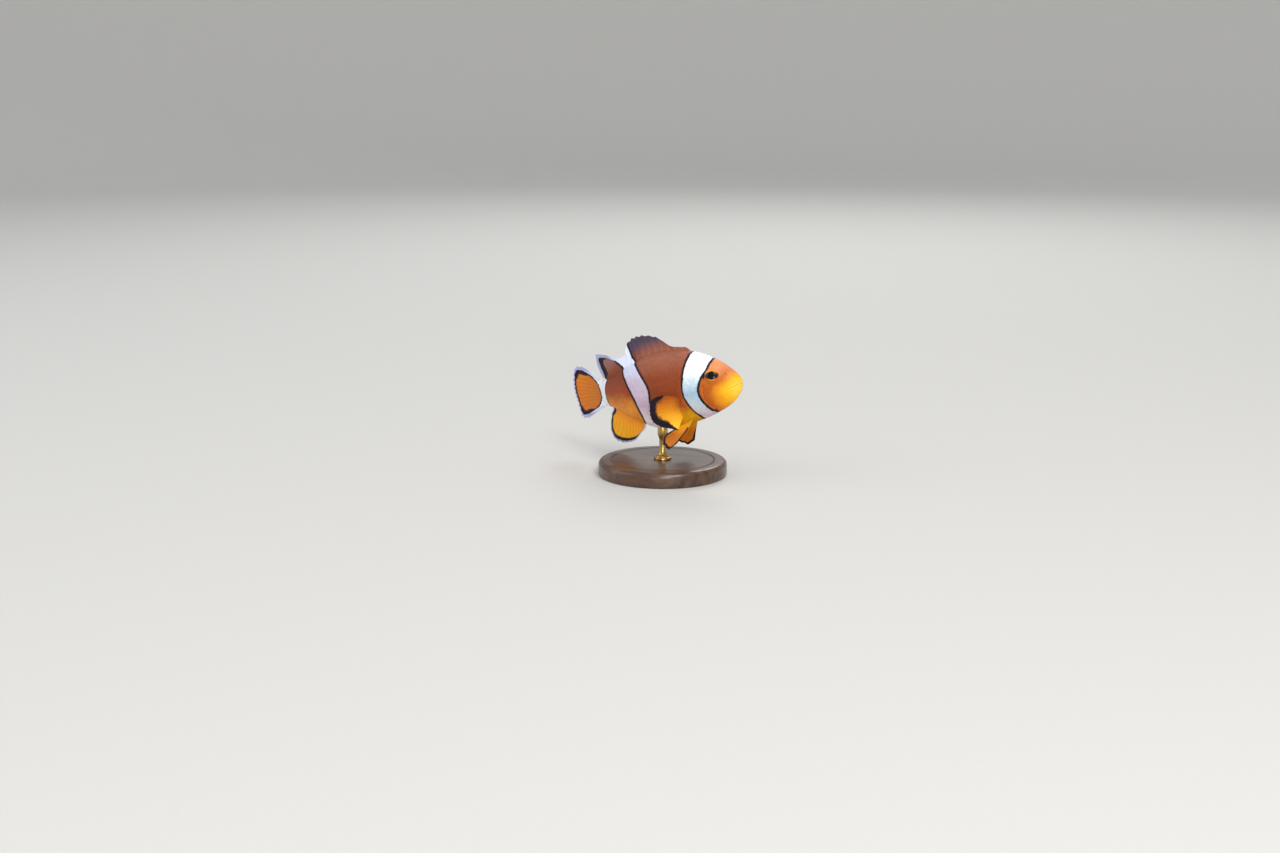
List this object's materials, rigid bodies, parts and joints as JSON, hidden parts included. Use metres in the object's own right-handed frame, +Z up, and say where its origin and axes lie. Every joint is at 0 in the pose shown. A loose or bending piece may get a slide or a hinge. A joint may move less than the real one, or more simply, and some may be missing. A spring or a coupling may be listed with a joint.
{
  "type": "clownfish display model",
  "caption": "Life-size still model of a young clownfish swimming with its head slightly raised and its tail curled to its left, held by one rod on a round base.",
  "frame": {"origin": "centre of the underside of the round stand base", "axes": "+X the way the fish's head points, +Y the fish's left, +Z up"},
  "size_m": [0.0633, 0.038, 0.0411],
  "materials": {
    "snout_skin": "smooth wet skin, bright yellow orange",
    "flank_skin": "smooth scaly skin, brownish orange with white bars edged in black",
    "bar_skin": "smooth scaly skin, white",
    "fin_skin": "thin rayed skin, orange with a black edge",
    "dusky_fin_skin": "thin rayed skin, dusky brown",
    "eye": "wet and glossy",
    "base_wood": "satin oiled walnut",
    "rod_metal": "satin"
  },
  "bodies": {
    "root": {"head": "snout_skin", "lower_jaw": "snout_skin", "trunk": "flank_skin", "tail_stalk": "flank_skin", "dorsal_fin_spiny": "dusky_fin_skin", "dorsal_fin_soft": "fin_skin", "anal_fin": "fin_skin", "tail_fin": "fin_skin", "eye_right": "eye", "gill_cover_right": "bar_skin", "pectoral_fin_right": "fin_skin", "pelvic_fin_right": "fin_skin", "eye_left": "eye", "gill_cover_left": "bar_skin", "pectoral_fin_left": "fin_skin", "pelvic_fin_left": "fin_skin", "stand_base": "base_wood", "stand_rod": "rod_metal"}
  },
  "joints": []
}
